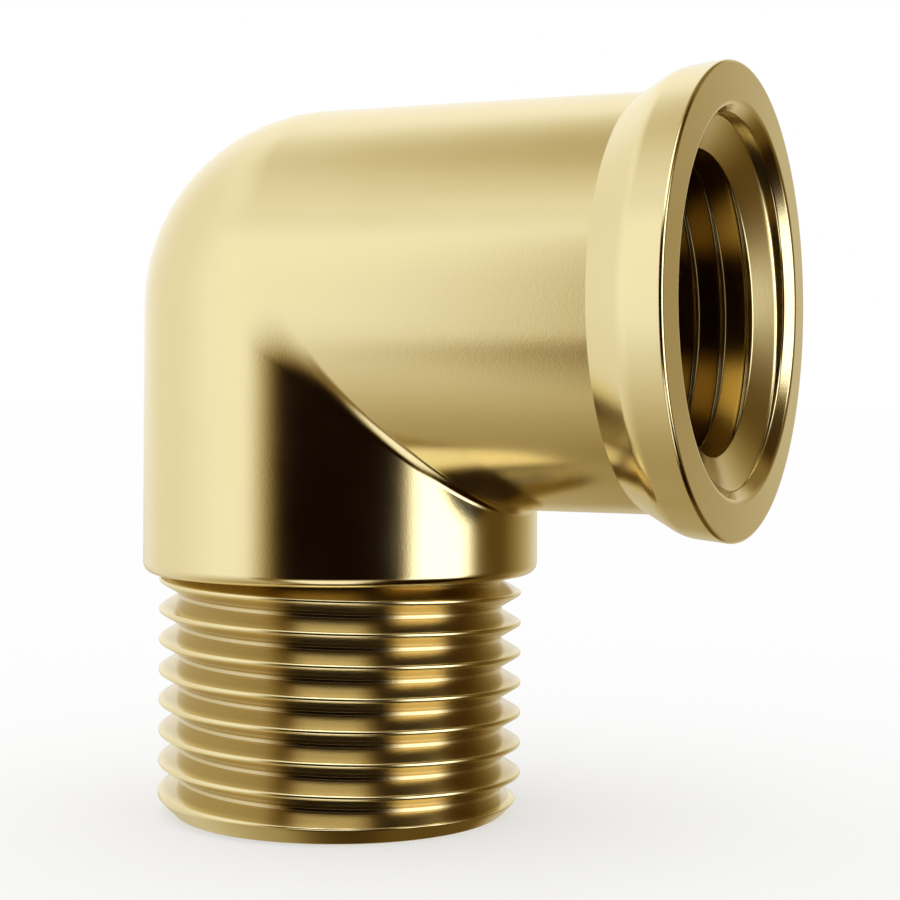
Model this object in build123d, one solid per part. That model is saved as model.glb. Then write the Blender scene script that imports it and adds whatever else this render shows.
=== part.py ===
from build123d import *
import os

# Male female elbow in one piece of brass.
# Sizes are in millimetres; diameters end in _d, lengths in _len.
# The origin is the centre of the male end, Z runs up the male leg and X runs out along the female leg.

# Body
body_d = 22.8               # outside of both legs and of the round heel
axis_height = 29.1          # female axis above the male end
reach = 24.05               # female face from the male axis
throat_round = 0.8          # rounding of the crease inside the bend
bore_d = 14.0               # water passage in both legs

# Male end
male_d = 20.955             # crests of the male pipe thread
male_len = 13.85            # thread below the collar
male_turns = 8              # turns of the thread
turn_depth = 1.11           # crests to roots
crest_len = 0.25            # flat on each crest
root_len = 0.29             # flat in each root
male_lead = 1.0             # bevel at the thread's start
collar_round = 0.6          # lower edge of the collar

# Flare around the female end
flare_len = 2.15            # cone of the flare
flare_step = 1.2            # rise of the cone above the body
flare_round = 2.0           # shoulder between the cone and the band
band_len = 2.4              # band between the cone and the female face
band_rise = 0.25            # rise of the band from the shoulder to the rim
rim_round = 0.2             # outer edge of the rim

# Female socket
female_d = 16.4             # crests of the female thread
thread_depth = 1.7          # crests to the wall of the entry
entry_len = 0.9             # bevel and plain wall before the first turn
mouth_lead = 0.55           # bevel of the mouth
run_in = 1.0                # slope of the first turn, from the wall to the crests
socket_len = 13.0           # face to the socket floor

body_r = body_d / 2
bore_r = bore_d / 2
male_r = male_d / 2
root_r = male_r - turn_depth
turn_len = male_len / male_turns
female_r = female_d / 2
entry_r = female_r + thread_depth
shoulder_r = body_r + flare_step
rim_r = shoulder_r + band_rise
band_start = reach - band_len
neck_len = band_start - flare_len
socket_floor = reach - socket_len
corner = Pos(0, 0, axis_height)
sideways = corner * Rot(0, 90, 0)

# Two equal legs meet on a ball: the ball rounds the heel, the legs cross in a mitred crease in the throat.
upright = Cylinder(body_r, axis_height - male_len, align=(Align.CENTER, Align.CENTER, Align.MIN))
upright = Pos(0, 0, male_len) * upright
upright = fillet(upright.edges().sort_by(Axis.Z)[0], collar_round)
level = sideways * Cylinder(body_r, neck_len, align=(Align.CENTER, Align.CENTER, Align.MIN))
body = upright + level + corner * Sphere(body_r)
body = fillet(body.edges().filter_by(GeomType.ELLIPSE), throat_round)

# The flare is turned about the female axis; its profile is drawn with X along the axis and Y outward.
flare_line = Polyline(
    (neck_len, 0),
    (neck_len, body_r),
    (band_start, shoulder_r),
    (reach, rim_r),
    (reach, 0),
    close=True,
)
flare_face = make_face(flare_line)
shoulder = flare_face.vertices().sort_by_distance((band_start, shoulder_r))[0]
flare_face = fillet(shoulder, flare_round)
rim = flare_face.vertices().sort_by_distance((reach, rim_r))[0]
flare_face = fillet(rim, rim_round)
body += corner * revolve(flare_face, Axis.X)

# The male end: a bevelled shank, with the turns of the thread between rings cut to the depth of the roots.
male = Cylinder(male_r, male_len, align=(Align.CENTER, Align.CENTER, Align.MIN))
male = chamfer(male.edges().sort_by(Axis.Z)[0], male_lead)
groove_line = Polyline(
    (root_r, -root_len / 2),
    (root_r, root_len / 2),
    (male_r, (turn_len - crest_len) / 2),
    (male_r, -(turn_len - crest_len) / 2),
    close=True,
)
groove = revolve(Plane.XZ * make_face(groove_line), Axis.Z)
for turn in range(male_turns + 1):
    male -= Pos(0, 0, turn * turn_len) * groove
body += male

# The female socket: bevelled mouth, plain entry, first turn, threaded wall, floor.
socket_line = Polyline(
    (socket_floor, 0),
    (socket_floor, female_r),
    (reach - entry_len - run_in, female_r),
    (reach - entry_len, entry_r),
    (reach - mouth_lead, entry_r),
    (reach, entry_r + mouth_lead),
    (reach, 0),
    close=True,
)
body -= corner * revolve(make_face(socket_line), Axis.X)

# The passage turns the corner on a ball of its own diameter.
passage = Cylinder(bore_r, axis_height, align=(Align.CENTER, Align.CENTER, Align.MIN))
passage += sideways * Cylinder(bore_r, socket_floor, align=(Align.CENTER, Align.CENTER, Align.MIN))
passage += corner * Sphere(bore_r)
body -= passage

os.makedirs("parts", exist_ok=True)
export_step(body.solid(), "parts/elbow.step")
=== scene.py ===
"""Male female elbow in satin brass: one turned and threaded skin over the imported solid, on a plain stage."""

import math

import bpy
import numpy as np
from mathutils import Matrix


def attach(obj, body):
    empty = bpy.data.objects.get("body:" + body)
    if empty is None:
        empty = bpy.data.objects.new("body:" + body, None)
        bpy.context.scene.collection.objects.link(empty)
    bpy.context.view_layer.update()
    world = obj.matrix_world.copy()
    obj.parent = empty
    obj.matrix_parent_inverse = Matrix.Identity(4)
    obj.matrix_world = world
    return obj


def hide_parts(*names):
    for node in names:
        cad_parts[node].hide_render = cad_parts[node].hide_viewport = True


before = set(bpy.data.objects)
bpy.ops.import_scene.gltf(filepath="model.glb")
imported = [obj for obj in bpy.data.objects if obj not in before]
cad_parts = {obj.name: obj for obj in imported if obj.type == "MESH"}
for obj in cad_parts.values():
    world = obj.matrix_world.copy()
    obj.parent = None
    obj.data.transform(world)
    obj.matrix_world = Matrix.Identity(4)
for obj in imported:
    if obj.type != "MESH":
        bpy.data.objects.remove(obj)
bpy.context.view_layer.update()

# Sizes of the solid, in millimetres, as in the part's source.
MM = 0.001
BODY_R = 11.4
AXIS_HEIGHT = 29.1
REACH = 24.05
BORE_R = 7.0
MALE_R = 10.4775
MALE_LEN = 13.85
MALE_LEAD = 1.0
COLLAR_ROUND = 0.6
FLARE_LEN = 2.15
FLARE_STEP = 1.2
FLARE_ROUND = 2.0
BAND_LEN = 2.4
BAND_RISE = 0.25
RIM_ROUND = 0.2
FEMALE_R = 8.2
MOUTH_LEAD = 0.55
SOCKET_LEN = 13.0

# What the skin adds to it.
THROAT = 0.5                        # rounding of the crease at its lowest point, measured along both legs
THROAT_GROWTH = 1.65                # and how much wider it grows towards both sides
EDGE = 0.06                         # broken edges of the turned faces
ENTRY_R = 10.05                     # wall of the entry, a little wider than the solid's
FACE_TILT = math.radians(2.5)       # fall of the female face from its mouth to its rim
LIP_ROUND = 0.4                     # edge between the female face and the bevel of its mouth
BORE_EDGE = 0.25
BORE_THROAT = 0.5
MALE_PITCH = 1.735
MALE_CREST_Z = 11.0246              # height of a crest on the +X side
MALE_DEPTH = 1.11                   # crests to roots
MALE_CREST_ROUND = 0.17
MALE_ROOT_ROUND = 0.08
MALE_HALF_ANGLE = math.radians(31)
MALE_TURNS = 5                      # whole turns from that crest to the last one
MALE_START = math.radians(128)      # where the last groove begins, from +X towards +Y
MALE_OPEN = math.radians(180)       # where the end below the last turn is plain
FEMALE_PITCH = 1.592
FEMALE_CREST_X = 22.136             # first crest on the +Y side
FEMALE_SLOPE = 2.4                  # radius gained per length along a flank
RUN_IN = 0.95                       # length of the first turn's outer flank
FEMALE_ROUND = 0.10                 # softening of crests and roots
FEMALE_START = math.radians(-200)   # where the first turn begins, from +Y towards +Z
FEMALE_FULL = math.radians(-112)    # where it has its full height

FLANK_SHADE_DEPTH = 0.15                   # depth below the male crests over which painted shade comes into the flanks
FLANK_SHADE_START = 0.3                    # share of that depth which stays without painted shade
INSIDE_SHADE_START = 1.7                  # where painted shade inside the socket begins, from the face
INSIDE_SHADE_LEN = 1.8                    # and the length over which it comes in

# Rows and columns of the mesh.
COLUMNS = 160
BEND_ROWS = 33
SHOULDER_ROWS = 9
RIM_ROWS = 9
LIP_ROWS = 8
MOUTH_ROWS = 22
PASSAGE_ROWS = 25
COLLAR_ROWS = 11
END_ROWS = 28
BORE_EDGE_ROWS = 6
CREST_ROWS = 5                      # over half a male crest, and over a corner of its root
FLANK_ROWS = 4
FEMALE_ROWS = (0, 0.035, 0.07, 0.12, 0.2, 0.36, 0.55, 0.66, 0.74, 0.796)    # over half a female pitch
RUN_IN_ROWS = (0.96, 1.0, 1.04)     # more of them, where the first turn meets the wall of the entry
PAST_MOUTH = 0.15                   # plain rings reach this far past the mouth's bevel
PAST_LEAD = 0.1                     # and this far past the bevel of the male end
WELD = 1e-6                         # points closer than this are one
ROW_GAP = 1e-4                      # a thread's rows stay this far from the ends of its patch
SLOPE_STEP = 1e-4                   # step over which a slope is taken
SLACK = 1e-3                        # for telling which part of the skin a point lies on
FACE_SAMPLE = 50                    # faces looked at to tell which way a patch is turned
turn = np.linspace(0, 2 * math.pi, COLUMNS, endpoint=False)
cos_t, sin_t = np.cos(turn), np.sin(turn)


class Skin:
    """One welded mesh, made of patches that bring their own exact normals. Lengths are in millimetres."""

    def __init__(self):
        self.points, self.normals, self.faces, self.count = [], [], [], 0

    def add(self, points, normals, faces):
        """Takes a patch, and turns its faces the way its normals point."""
        lean = 0.0
        for f in faces[:: max(1, len(faces) // FACE_SAMPLE)]:
            a, b, c = (points[i] for i in f[:3])
            lean += float(np.dot(np.cross(b - a, c - a), normals[f[0]] + normals[f[1]] + normals[f[2]]))
        if lean < 0:
            faces = [f[::-1] for f in faces]
        self.points.append(points)
        self.normals.append(normals)
        self.faces += [tuple(i + self.count for i in f) for f in faces]
        self.count += len(points)

    def rings(self, points, normals):
        """A patch of closed rings: arrays of rows by columns by 3."""
        rows, columns = points.shape[:2]
        faces = []
        for j in range(rows - 1):
            for i in range(columns):
                k = (i + 1) % columns
                faces.append((j * columns + i, j * columns + k, (j + 1) * columns + k, (j + 1) * columns + i))
        self.add(points.reshape(-1, 3), unit(normals).reshape(-1, 3), faces)

    def object(self, name):
        """The mesh with its points welded, in metres."""
        points, normals = np.concatenate(self.points), np.concatenate(self.normals)
        keys = np.round(points / WELD).astype(np.int64)
        _, kept, index = np.unique(keys, axis=0, return_index=True, return_inverse=True)
        index = index.ravel()
        faces, corners = [], []
        for f in self.faces:
            ring = [i for n, i in enumerate(f) if index[i] != index[f[n - 1]]]
            if len(ring) > 2:
                faces.append([int(index[i]) for i in ring])
                corners += ring
        mesh = bpy.data.meshes.new(name)
        mesh.from_pydata((points[kept] * MM).tolist(), [], faces)
        mesh.shade_smooth()
        mesh.normals_split_custom_set(normals[corners].tolist())
        made = bpy.data.objects.new(name, mesh)
        bpy.context.scene.collection.objects.link(made)
        return made


def unit(v):
    return v / np.maximum(np.linalg.norm(v, axis=-1, keepdims=True), 1e-12)


def around_z(r, z):
    """A ring about the male axis."""
    return np.stack([r * cos_t, r * sin_t, z + 0 * turn], -1)


def around_x(r, x):
    """A ring about the female axis, on the same columns: column 0 is on the throat side of both legs."""
    return np.stack([x + 0 * turn, r * sin_t, AXIS_HEIGHT - r * cos_t], -1)


def normal_z(out, up):
    return np.stack([out * cos_t, out * sin_t, up + 0 * turn], -1)


def normal_x(out, along):
    return np.stack([along + 0 * turn, out * sin_t, -out * cos_t], -1)


def arc(centre, radius, start, end, count):
    """Points and normals of an arc in a lathe profile, as (along, out) pairs.
    Angles are from the axis' direction."""
    return [
        (centre[0] + radius * math.cos(a), centre[1] + radius * math.sin(a), math.cos(a), math.sin(a))
        for a in np.linspace(start, end, count)
    ]


def lathe_x(skin, profile):
    """Turns (along, out, normal along, normal out) about the female axis."""
    skin.rings(
        np.stack([around_x(r, x) for x, r, _, _ in profile]),
        np.stack([normal_x(nr, nx) for _, _, nx, nr in profile]),
    )


def lathe_z(skin, profile):
    """Turns (along, out, normal along, normal out) about the male axis."""
    skin.rings(
        np.stack([around_z(r, z) for z, r, _, _ in profile]),
        np.stack([normal_z(nr, nz) for _, _, nz, nr in profile]),
    )


def bend(skin, radius, throat, low, end, rows, side):
    """A skin up one leg, round the corner and out along the other.
    It has a ball at the heel and a rounded crease in the throat, and each column stays in a plane of its own y.
    Side is 1 for the outside and -1 for the passage."""
    points = [around_z(radius, low)]
    normals = [normal_z(1, 0)]
    in_throat = cos_t > -1e-9
    for a in np.linspace(0, math.pi / 2, rows):
        c, s = math.cos(a), math.sin(a)
        x = np.where(in_throat, radius * cos_t + throat * (1 - c), radius * cos_t * c)
        z = np.where(in_throat, -radius * cos_t - throat * (1 - s), -radius * cos_t * s)
        points.append(np.stack([x, radius * sin_t, AXIS_HEIGHT + z], -1))
        normals.append(np.stack([cos_t * c, sin_t * np.where(in_throat, c + s, 1.0), -cos_t * s], -1))
    points.append(around_x(radius, end))
    normals.append(normal_x(1, 0))
    skin.rings(np.stack(points), side * np.stack(normals))


def soft_min(a, b, k):
    """The lower of two, with a rounding of width k where they cross."""
    h = np.clip(0.5 + 0.5 * (b - a) / k, 0, 1)
    return b * (1 - h) + a * h - k * h * (1 - h)


def soft_max(a, b, k):
    """The higher of two, rounded likewise."""
    return -soft_min(-a, -b, k)


def ease(share):
    """From 0 to 1, level at both ends."""
    share = np.clip(share, 0, 1)
    return share * share * (3 - 2 * share)


def male_profile():
    """Where the crest, the flank and the corner of the root end, along half a pitch from a male crest."""
    crest = MALE_CREST_ROUND * math.cos(MALE_HALF_ANGLE)
    rounded = (MALE_CREST_ROUND + MALE_ROOT_ROUND) * (1 - math.sin(MALE_HALF_ANGLE))
    flank = crest + (MALE_DEPTH - rounded) * math.tan(MALE_HALF_ANGLE)
    return crest, flank, flank + MALE_ROOT_ROUND * math.cos(MALE_HALF_ANGLE)


def male_radius(angle, z):
    """The male thread: rounded crests, straight flanks and flat roots, cut by the bevel at its end."""
    crest_end, flank_end, root = male_profile()
    u = z - MALE_CREST_Z + MALE_PITCH * angle / (2 * math.pi)
    u = np.abs((u / MALE_PITCH + 0.5) % 1.0 - 0.5) * MALE_PITCH
    crest = MALE_R - MALE_CREST_ROUND + np.sqrt(np.maximum(MALE_CREST_ROUND ** 2 - u ** 2, 0))
    edge = MALE_R - MALE_CREST_ROUND * (1 - math.sin(MALE_HALF_ANGLE))
    flank = edge - (u - crest_end) / math.tan(MALE_HALF_ANGLE)
    corner = np.sqrt(np.maximum(MALE_ROOT_ROUND ** 2 - np.minimum(u - root, 0) ** 2, 0))
    foot = MALE_R - MALE_DEPTH + MALE_ROOT_ROUND - corner
    thread = np.where(u < crest_end, crest, np.where(u < flank_end, flank, foot))
    turned = (angle - MALE_START) % (2 * math.pi) + MALE_START
    plain = ease((turned - MALE_START) / (MALE_OPEN - MALE_START))
    last = MALE_CREST_Z - MALE_PITCH * (MALE_TURNS + turned / (2 * math.pi))
    thread = np.where(z < last, thread + (MALE_R - thread) * plain, thread)
    return soft_min(thread, MALE_R - MALE_LEAD + z, 2 * EDGE)


def female_crest(angle):
    """Where the first crest is along the female axis. The angle is from +Y towards +Z."""
    angle = (angle - FEMALE_START) % (2 * math.pi) + FEMALE_START
    return angle, FEMALE_CREST_X - FEMALE_PITCH * angle / (2 * math.pi)


def female_radius(angle, x):
    """The female thread: sharp turns in a plain wall, the first of them growing out of it.
    The mouth's bevel opens it."""
    angle, crest = female_crest(angle)
    u = x - crest
    grown = ease((angle - FEMALE_START) / (FEMALE_FULL - FEMALE_START))
    tip = soft_max(np.abs(u), -np.abs(u), FEMALE_ROUND)
    outer_slope = (ENTRY_R - FEMALE_R) / RUN_IN
    first = FEMALE_R + FEMALE_SLOPE * tip + (outer_slope - FEMALE_SLOPE) * (u + tip) / 2
    first = ENTRY_R - grown * (ENTRY_R - soft_min(first, ENTRY_R, FEMALE_ROUND))
    deep = (u / FEMALE_PITCH + 0.5) % 1.0 * FEMALE_PITCH - FEMALE_PITCH / 2
    v = np.where(u > -FEMALE_PITCH, u + FEMALE_PITCH, deep)
    tip = soft_max(np.abs(v), -np.abs(v), FEMALE_ROUND)
    turns = FEMALE_R + FEMALE_SLOPE * tip
    w = np.where(u > -FEMALE_PITCH, first, FEMALE_R + FEMALE_SLOPE * (FEMALE_PITCH - np.abs(v)))
    wall = soft_min(turns, w, 2 * FEMALE_ROUND)
    bevel = soft_max(wall, ENTRY_R + x - (REACH - MOUTH_LEAD), EDGE)
    return np.where(x > REACH - MOUTH_LEAD - EDGE, bevel, wall)


def male_place(column, z):
    return place(turn[column], z, male_radius, lambda r, a, z: (r * np.cos(a), r * np.sin(a), z), 1)


def female_place(column, x):
    """The columns start on the throat side, a quarter turn before +Y."""
    return place(
        turn[column] - math.pi / 2, x, female_radius,
        lambda r, a, x: (x, r * np.cos(a), AXIS_HEIGHT + r * np.sin(a)), -1,
    )


def place(angle, along, radius, point, side):
    """Points of a wall whose radius depends on angle and place, and its normals from the slopes there."""
    step = SLOPE_STEP

    def at(a, b):
        return np.stack(point(radius(a, b), a, b), -1)

    by_angle = at(angle + step, along) - at(angle - step, along)
    by_along = at(angle, along + step) - at(angle, along - step)
    points = at(angle, along)
    normals = unit(np.cross(by_angle, by_along))
    outward = points - np.stack(point(0 * along, angle, along), -1)
    facing = np.sum(normals * outward, -1, keepdims=True) * side
    return points, normals * np.where(facing < 0, -1, 1)


def helix(skin, crest, pitch, offsets, low, high, put):
    """A patch between two planes, whose rows follow a thread: crest is where its crest is at each column,
    and sinks by one pitch in a whole turn; offsets are the rows of one pitch, rising from the crest."""
    rows = len(offsets)
    columns, alongs, start, first, last = [], [], [], [], []
    for i in range(COLUMNS):
        n = np.arange(math.floor((low - crest[i]) / pitch) - 1, math.ceil((high - crest[i]) / pitch) + 2)
        heights = (crest[i] + n[:, None] * pitch + offsets[None, :]).ravel()
        numbers = (n[:, None] * rows + np.arange(rows)[None, :]).ravel()
        inside = (heights > low + ROW_GAP) & (heights < high - ROW_GAP)
        start.append(len(alongs))
        first.append(int(numbers[inside][0]))
        last.append(int(numbers[inside][-1]))
        alongs += [low, *heights[inside], high]
        columns += [i] * (int(inside.sum()) + 2)
    points, normals = put(np.array(columns), np.array(alongs))
    faces = []
    for a in range(COLUMNS):
        b = (a + 1) % COLUMNS
        shift = 0
        if crest[b] - crest[a] > pitch / 2:
            shift = rows
        if crest[b] - crest[a] < -pitch / 2:
            shift = -rows

        def on_a(g):
            return start[a] + 1 + g - first[a]

        def on_b(g):
            return start[b] + 1 + g - shift - first[b]

        c = max(first[a], first[b] + shift)
        d = min(last[a], last[b] + shift)
        faces += [(on_a(g), on_b(g), on_b(g + 1), on_a(g + 1)) for g in range(c, d)]
        foot_b = [on_b(g) for g in range(first[b] + shift, c + 1)]
        foot_a = [on_a(g) for g in range(c, first[a] - 1, -1)]
        faces.append((start[a], start[b], *foot_b, *foot_a))
        head_b = [on_b(g) for g in range(d, last[b] + shift + 2)]
        head_a = [on_a(g) for g in range(last[a] + 1, d - 1, -1)]
        faces.append((*head_b, *head_a))
    skin.add(points, normals, faces)


def levels(skin, alongs, put):
    """A patch of plain rings at these places along a threaded wall."""
    every = np.arange(COLUMNS)
    made = [put(every, np.full(COLUMNS, float(x))) for x in alongs]
    skin.rings(np.stack([m[0] for m in made]), np.stack([m[1] for m in made]))


def build_elbow():
    skin = Skin()

    # Outside of both legs, then the flare: crease, cone, shoulder, band, rim, face.
    band_start = REACH - BAND_LEN
    neck = band_start - FLARE_LEN
    throat = THROAT + THROAT_GROWTH * (1 - cos_t) ** 3
    bend(skin, BODY_R, throat, MALE_LEN + COLLAR_ROUND, neck, BEND_ROWS, 1)
    cone, band = math.atan2(FLARE_STEP, FLARE_LEN), math.atan2(BAND_RISE, BAND_LEN)
    shoulder_r, rim_r = BODY_R + FLARE_STEP, BODY_R + FLARE_STEP + BAND_RISE
    run = FLARE_ROUND * math.tan((cone - band) / 2)
    start = (band_start - run * math.cos(cone), shoulder_r - run * math.sin(cone))
    centre = (start[0] + FLARE_ROUND * math.sin(cone), start[1] - FLARE_ROUND * math.cos(cone))
    quarter = math.pi / 2
    shoulder = arc(centre, FLARE_ROUND, quarter + cone, quarter + band, SHOULDER_ROWS)
    mouth_r = ENTRY_R + MOUTH_LEAD
    lip_r = mouth_r + LIP_ROUND * math.tan(quarter / 4)
    lip = arc((REACH - LIP_ROUND, lip_r), LIP_ROUND, FACE_TILT, -quarter / 2, LIP_ROWS)
    fall = (rim_r - RIM_ROUND - lip_r) * math.tan(FACE_TILT)
    rim_centre_r = rim_r - (RIM_ROUND + fall) * math.tan(band) - RIM_ROUND / math.cos(band)
    rim_centre = (REACH - fall - RIM_ROUND, rim_centre_r)
    rim = arc(rim_centre, RIM_ROUND, quarter + band, FACE_TILT, RIM_ROWS)
    lathe_x(skin, [(neck, BODY_R, -math.sin(cone), math.cos(cone)), *shoulder, *rim])
    lathe_x(skin, [rim[-1], *lip])

    # Mouth: bevel and entry, then the turns down to the socket floor.
    split = REACH - MOUTH_LEAD - PAST_MOUTH
    edge_x = lip[-1][0]
    levels(skin, np.linspace(edge_x, split, MOUTH_ROWS), female_place)
    floor_x = REACH - SOCKET_LEN
    _, crest = female_crest(turn - quarter)
    rise = np.array(FEMALE_ROWS)
    offsets = np.concatenate([rise, (FEMALE_PITCH - rise[1:-1])[::-1], RUN_IN_ROWS])
    helix(skin, crest, FEMALE_PITCH, np.unique(np.round(offsets, 4)), floor_x, split, female_place)
    foot, _ = female_place(np.arange(COLUMNS), np.full(COLUMNS, floor_x))
    skin.rings(np.stack([foot, around_x(BORE_R, floor_x)]), np.stack([normal_x(0, 1)] * 2))

    # Passage through both legs.
    bend(skin, BORE_R, BORE_THROAT, BORE_EDGE, floor_x, PASSAGE_ROWS, -1)

    # Collar, thread, bevelled end.
    collar_centre = (MALE_LEN + COLLAR_ROUND, BODY_R - COLLAR_ROUND)
    lathe_z(skin, arc(collar_centre, COLLAR_ROUND, quarter, 2 * quarter, COLLAR_ROWS))
    top, _ = male_place(np.arange(COLUMNS), np.full(COLUMNS, MALE_LEN))
    skin.rings(np.stack([around_z(BODY_R - COLLAR_ROUND, MALE_LEN), top]), np.stack([normal_z(0, -1)] * 2))
    crest = MALE_CREST_Z - MALE_PITCH * turn / (2 * math.pi)
    crest_end, flank_end, root = male_profile()
    lobe = np.sin(np.linspace(0, quarter - MALE_HALF_ANGLE, CREST_ROWS))
    flank = np.linspace(crest_end, flank_end, FLANK_ROWS)[1:-1]
    corner = root - MALE_ROOT_ROUND * lobe[::-1]
    rise = np.concatenate([MALE_CREST_ROUND * lobe, flank, corner, [MALE_PITCH / 2]])
    offsets = np.concatenate([rise, (MALE_PITCH - rise[1:-1])[::-1]])
    cut = MALE_LEAD + PAST_LEAD
    helix(skin, crest, MALE_PITCH, offsets, cut, MALE_LEN, male_place)
    levels(skin, np.linspace(cut, EDGE, END_ROWS), male_place)
    edge_points, edge_normals = male_place(np.arange(COLUMNS), np.full(COLUMNS, EDGE))
    foot, _ = male_place(np.arange(COLUMNS), np.full(COLUMNS, 0.0))
    foot_r = np.linalg.norm(foot[:, :2], axis=1) - EDGE
    skin.rings(np.stack([edge_points, around_z(foot_r, 0)]), np.stack([edge_normals, normal_z(0, -1)]))
    foot_rings = [around_z(foot_r, 0), around_z(BORE_R + BORE_EDGE, 0)]
    skin.rings(np.stack(foot_rings), np.stack([normal_z(0, -1)] * 2))
    edge_centre = (BORE_EDGE, BORE_R + BORE_EDGE)
    lathe_z(skin, arc(edge_centre, BORE_EDGE, 2 * quarter, 3 * quarter, BORE_EDGE_ROWS))
    return skin.object("elbow_brass")


def mark_cuts_and_shade(piece):
    """Marks the cut threads, and where painted shade lies: how far inside the socket and the passage each point
    lies, and how deep each point of the male thread lies below its crests.
    """
    mesh = piece.data
    places = np.empty(3 * len(mesh.vertices))
    mesh.vertices.foreach_get("co", places)
    x, y, z = places.reshape(-1, 3).T / MM
    from_male, from_female = np.hypot(x, y), np.hypot(y, z - AXIS_HEIGHT)
    outside = (from_male > BORE_R + BORE_EDGE) & (from_male < BODY_R - COLLAR_ROUND + SLACK)
    male = (z < MALE_LEN + SLACK) & outside
    socket = (x > REACH - SOCKET_LEN - SLACK) & (from_female < ENTRY_R + SLACK)
    near = BORE_R + BORE_THROAT + SLACK
    upright, level = (from_male < near) & (z < AXIS_HEIGHT), (from_female < near) & (x > 0)
    corner = np.hypot(from_male, z - AXIS_HEIGHT) < near
    passage = ~male & ~socket & (upright | level | corner)
    # Painted shade inside: full in the passage, and in the socket growing inwards from the face.
    inward = np.clip((REACH - INSIDE_SHADE_START - x) / INSIDE_SHADE_LEN, 0, 1)
    inside = np.where(passage, 1.0, np.where(socket, inward, 0.0))
    # Painted shade in the male thread: flanks and roots darker with depth below the crests, and the ring under
    # the collar fully shaded.
    flank_shade = np.clip((MALE_R - from_male) / FLANK_SHADE_DEPTH - FLANK_SHADE_START, 0, 1) * male * (z > MALE_LEAD)
    flank_shade = np.where(male & (z > MALE_LEN - SLACK), 1.0, flank_shade)
    for name, values in (("cut", male | socket), ("inside", inside), ("flank_shade", flank_shade)):
        mesh.attributes.new(name, "FLOAT", "POINT").data.foreach_set("value", values.astype(np.float32))


# Colours and finish of the brass; its body varies between two near tones.
BODY_BRASS = ((0.89, 0.775, 0.45, 1), (0.91, 0.795, 0.475, 1))
BODY_ROUGHNESS = (0.14, 0.18)
CLOUD_SCALE = 260.0
CLOUD_SPAN = (0.3, 0.7)             # the range of the cloud that goes from one end of both to the other
CUT_ROUGHNESS = 0.17
GRAIN_SCALE = 7000.0
GRAIN_STRENGTH = 0.12
GRAIN_HEIGHT = 0.00002
# painted shade for the flanks and roots of the male thread
SHADED_FLANK_BRASS = (0.67, 0.56, 0.32, 1)
# painted shade inside the socket and the passage
SHADED_INSIDE_BRASS = (0.47, 0.36, 0.16, 1)


def brass():
    """Satin brass: a fine grain and faint clouds, with painted shade on the male thread's flanks and roots and
    inside the socket and the passage.
    """
    material = bpy.data.materials.new("satin_brass")
    material.use_nodes = True
    tree = material.node_tree
    shader = tree.nodes["Principled BSDF"]
    shader.inputs["Metallic"].default_value = 1.0

    def node(kind, **inputs):
        made = tree.nodes.new("ShaderNode" + kind)
        for name, value in inputs.items():
            made.inputs[name.replace("_", " ")].default_value = value
        return made

    place = node("TexCoord")
    grain = node("TexNoise", Scale=GRAIN_SCALE, Detail=3.0, Roughness=0.6)
    cloud = node("TexNoise", Scale=CLOUD_SCALE, Detail=4.0, Roughness=0.55)
    for noise in (grain, cloud):
        tree.links.new(place.outputs["Object"], noise.inputs["Vector"])
    marks = {}
    for name in ("cut", "inside", "flank_shade"):
        marks[name] = node("Attribute")
        marks[name].attribute_name = name

    tint = node("ValToRGB")
    for stop, position, tone in zip(tint.color_ramp.elements, CLOUD_SPAN, BODY_BRASS):
        stop.position = position
        stop.color = tone
    tree.links.new(cloud.outputs["Fac"], tint.inputs["Fac"])
    colour = tint.outputs["Color"]
    # Mixes in the painted shade of the male thread's recesses and of the inside of socket and passage.
    for name, shade in (("flank_shade", SHADED_FLANK_BRASS), ("inside", SHADED_INSIDE_BRASS)):
        skin = node("Mix")
        skin.data_type = "RGBA"
        skin.inputs[7].default_value = shade
        tree.links.new(marks[name].outputs["Fac"], skin.inputs[0])
        tree.links.new(colour, skin.inputs[6])
        colour = skin.outputs[2]
    tree.links.new(colour, shader.inputs["Base Color"])

    satin = node("MapRange", From_Min=CLOUD_SPAN[0], From_Max=CLOUD_SPAN[1])
    satin.inputs["To Min"].default_value, satin.inputs["To Max"].default_value = BODY_ROUGHNESS
    tree.links.new(cloud.outputs["Fac"], satin.inputs["Value"])
    finish = node("Mix")
    finish.inputs[3].default_value = CUT_ROUGHNESS
    tree.links.new(marks["cut"].outputs["Fac"], finish.inputs[0])
    tree.links.new(satin.outputs["Result"], finish.inputs[2])
    tree.links.new(finish.outputs[0], shader.inputs["Roughness"])

    bump = node("Bump", Strength=GRAIN_STRENGTH, Distance=GRAIN_HEIGHT)
    tree.links.new(grain.outputs["Fac"], bump.inputs["Height"])
    tree.links.new(bump.outputs["Normal"], shader.inputs["Normal"])
    return material


elbow = build_elbow()
mark_cuts_and_shade(elbow)
elbow.data.materials.append(brass())
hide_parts("elbow")
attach(elbow, "root")

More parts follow.
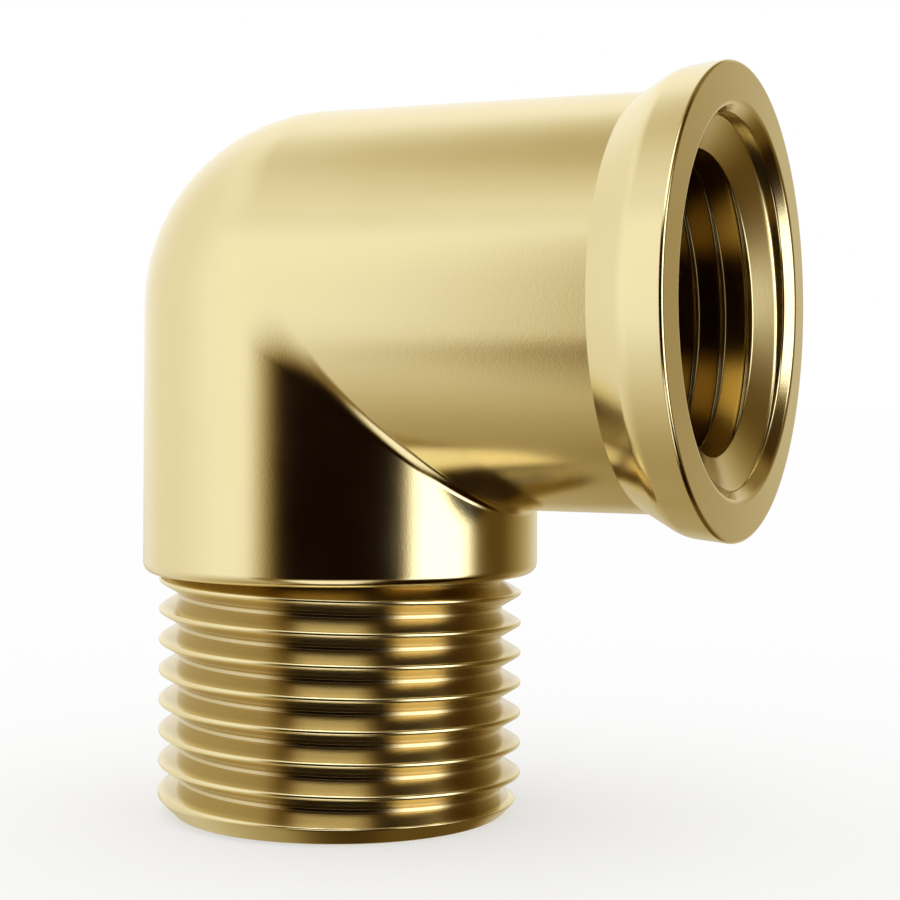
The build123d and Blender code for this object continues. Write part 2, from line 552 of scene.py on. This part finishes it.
# Camera of the photograph: level, with the horizon above the middle of the frame.
IMAGE = 900
FOCAL_PX = 1999.1018
HORIZON_ROW = 393.9023
SENSOR = 36.0
camera_data = bpy.data.cameras.new("camera")
camera_data.sensor_fit = "HORIZONTAL"
camera_data.sensor_width = SENSOR
camera_data.lens = FOCAL_PX * SENSOR / IMAGE
camera_data.shift_y = (HORIZON_ROW - IMAGE / 2) / IMAGE
camera_data.clip_start = 0.005
camera_data.clip_end = 20.0
camera = bpy.data.objects.new("camera", camera_data)
bpy.context.scene.collection.objects.link(camera)
CAMERA_PLACE = (0.0548329, -0.1028912, 0.0241539)
AZIMUTH = 0.4357
ROLL = 0.0061
camera.matrix_world = (
    Matrix.Translation(CAMERA_PLACE)
    @ Matrix.Rotation(AZIMUTH, 4, "Z")
    @ Matrix.Rotation(math.pi / 2, 4, "X")
    @ Matrix.Rotation(ROLL, 4, "Z")
)
bpy.context.scene.camera = camera

# Stage: a pale floor under a white sky, and a tent far round the object that only its reflections see.
CAMERA_SIDE = math.atan2(CAMERA_PLACE[1], CAMERA_PLACE[0])


def link(name, mesh):
    made = bpy.data.objects.new(name, mesh)
    bpy.context.scene.collection.objects.link(made)
    return made


def glow(name):
    """A light of its own, in the tones of the mesh's points."""
    material = bpy.data.materials.new(name)
    material.use_nodes = True
    tree = material.node_tree
    tree.nodes.clear()
    tone = tree.nodes.new("ShaderNodeAttribute")
    tone.attribute_name = "tone"
    light = tree.nodes.new("ShaderNodeEmission")
    out = tree.nodes.new("ShaderNodeOutputMaterial")
    tree.links.new(tone.outputs["Color"], light.inputs["Color"])
    tree.links.new(light.outputs["Emission"], out.inputs["Surface"])
    return material


def reflection_only(made):
    made.visible_camera = False
    made.visible_diffuse = False
    made.visible_shadow = False
    made.visible_transmission = False


def window(x, low, high, soft):
    """1 between two angles and 0 outside them, with soft edges."""
    return ease(np.clip((x - low) / soft + 0.5, 0, 1) * np.clip((high - x) / soft + 0.5, 0, 1))


def tent():
    """A white tent far round the object that only its reflections see, with flags and lamps in it."""
    heights_in, sides_in = np.arange(-90.0, 90.1, TENT_STEP), np.arange(-180, 180.1, TENT_STEP)
    up, across = np.meshgrid(heights_in, sides_in, indexing="ij")
    level = np.full_like(up, TENT_LEVEL)
    for _, sides, heights, soft, patch_level in TENT:
        middle = (sides[0] + sides[1]) / 2
        turned = (across - middle + 180) % 360 - 180 + middle
        level += (patch_level - level) * window(turned, *sides, soft[0]) * window(up, *heights, soft[1])
    warm = np.stack([level, level ** WARM_GREEN, level ** WARM_BLUE], -1)
    tones = np.where(level[..., None] < 1, warm, level[..., None] * LAMP)
    a, e = np.radians(across) + CAMERA_SIDE, np.radians(up)
    points = TENT_RADIUS * np.stack([np.cos(e) * np.cos(a), np.cos(e) * np.sin(a), np.sin(e)], -1)
    wide = up.shape[1]
    corners = np.arange(up.size).reshape(up.shape)[:-1, :-1].ravel()
    faces = np.stack([corners, corners + 1, corners + wide + 1, corners + wide], -1)
    mesh = bpy.data.meshes.new("tent")
    mesh.from_pydata(points.reshape(-1, 3).tolist(), [], faces.tolist())
    tones = np.concatenate([tones, np.ones_like(level)[..., None]], -1)
    mesh.color_attributes.new("tone", "FLOAT_COLOR", "POINT").data.foreach_set("color", tones.ravel())
    mesh.materials.append(glow("tent"))
    reflection_only(link("tent", mesh))


def flat(name, low, high, z, material):
    mesh = bpy.data.meshes.new(name)
    corners = [(low[0], low[1], z), (high[0], low[1], z), (high[0], high[1], z), (low[0], high[1], z)]
    mesh.from_pydata(corners, [], [(0, 1, 2, 3)])
    mesh.materials.append(material)
    return link(name, mesh)


# The floor: a matt white, half of it seen as a plain white so that its shadows stay soft.
FLOOR_WHITE = 0.5
FLOOR_TONE = (0.98, 0.98, 0.98, 1)
FLOOR_HALF = 4
floor_material = bpy.data.materials.new("floor")
floor_material.use_nodes = True
floor_shader = floor_material.node_tree.nodes["Principled BSDF"]
floor_shader.inputs["Base Color"].default_value = FLOOR_TONE
floor_shader.inputs["Roughness"].default_value = 1.0
floor_shader.inputs["Specular IOR Level"].default_value = 0.0
floor_nodes, floor_links = floor_material.node_tree.nodes, floor_material.node_tree.links
sight = floor_nodes.new("ShaderNodeLightPath")
share = floor_nodes.new("ShaderNodeMath")
share.operation = "MULTIPLY"
share.inputs[1].default_value = FLOOR_WHITE
white = floor_nodes.new("ShaderNodeEmission")
blend = floor_nodes.new("ShaderNodeMixShader")
floor_links.new(sight.outputs["Is Camera Ray"], share.inputs[0])
floor_links.new(share.outputs[0], blend.inputs["Fac"])
floor_links.new(floor_shader.outputs["BSDF"], blend.inputs[1])
floor_links.new(white.outputs["Emission"], blend.inputs[2])
floor_links.new(blend.outputs["Shader"], floor_nodes["Material Output"].inputs["Surface"])
floor = flat("floor", (-FLOOR_HALF, -FLOOR_HALF), (FLOOR_HALF, FLOOR_HALF), 0, floor_material)
floor.visible_glossy = False

# The tent: name, degrees to the right of the camera, degrees above the horizon, soft edges of both, light.
TENT_RADIUS = 3.0
TENT_STEP = 2
TENT_LEVEL = 1.03                   # where no patch lies
WARM_GREEN = 1.24                   # patches turn warmer as they darken
WARM_BLUE = 1.9
LAMP = np.array((1.0, 0.98, 0.93))
TENT = [
    ("left", (-150, -88), (-20, 50), (50, 30), 0.88),
    ("upper left", (-90, -40), (36, 60), (30, 14), 0.88),
    ("ceiling", (-182, 182), (60, 120), (1, 30), 0.5),
    ("back floor", (158, 205), (-90, -4), (24, 20), 0.68),
    ("floor", (-182, 182), (-140, -40), (1, 90), 0.3),
    ("right shade", (60, 138), (-90, 120), (90, 1), 0.06),
    ("right floor", (100, 170), (-90, -30), (40, 16), 0.12),
    ("front flag", (-46, 60), (-32, 34), (25, 11), 0.006),
    ("left floor gap", (-54, -36), (-90, -20), (14, 10), 0.18),
    ("front floor", (-36, 16), (-90, -38), (14, 8), 1.1),
    ("right floor gap", (24, 104), (-90, -32), (14, 8), 0.012),
    ("upper right", (24, 150), (30, 120), (14, 10), 0.22),
    ("upper right flag", (62, 104), (30, 64), (14, 10), 0.04),
    ("under the foot", (-182, 182), (-140, -74), (1, 12), 0.02),
    ("hair light", (-36, 28), (40, 84), (14, 8), 1.8),
    ("strip light", (40, 77.5), (-29, 28), (15, 10), 2.2),
]
tent()

world = bpy.data.worlds.new("studio")
bpy.context.scene.world = world
world.use_nodes = True
world.node_tree.nodes["Background"].inputs["Color"].default_value = (1, 1, 1, 1)
world.node_tree.nodes["Background"].inputs["Strength"].default_value = 1.0

bpy.context.scene.view_settings.view_transform = "Standard"
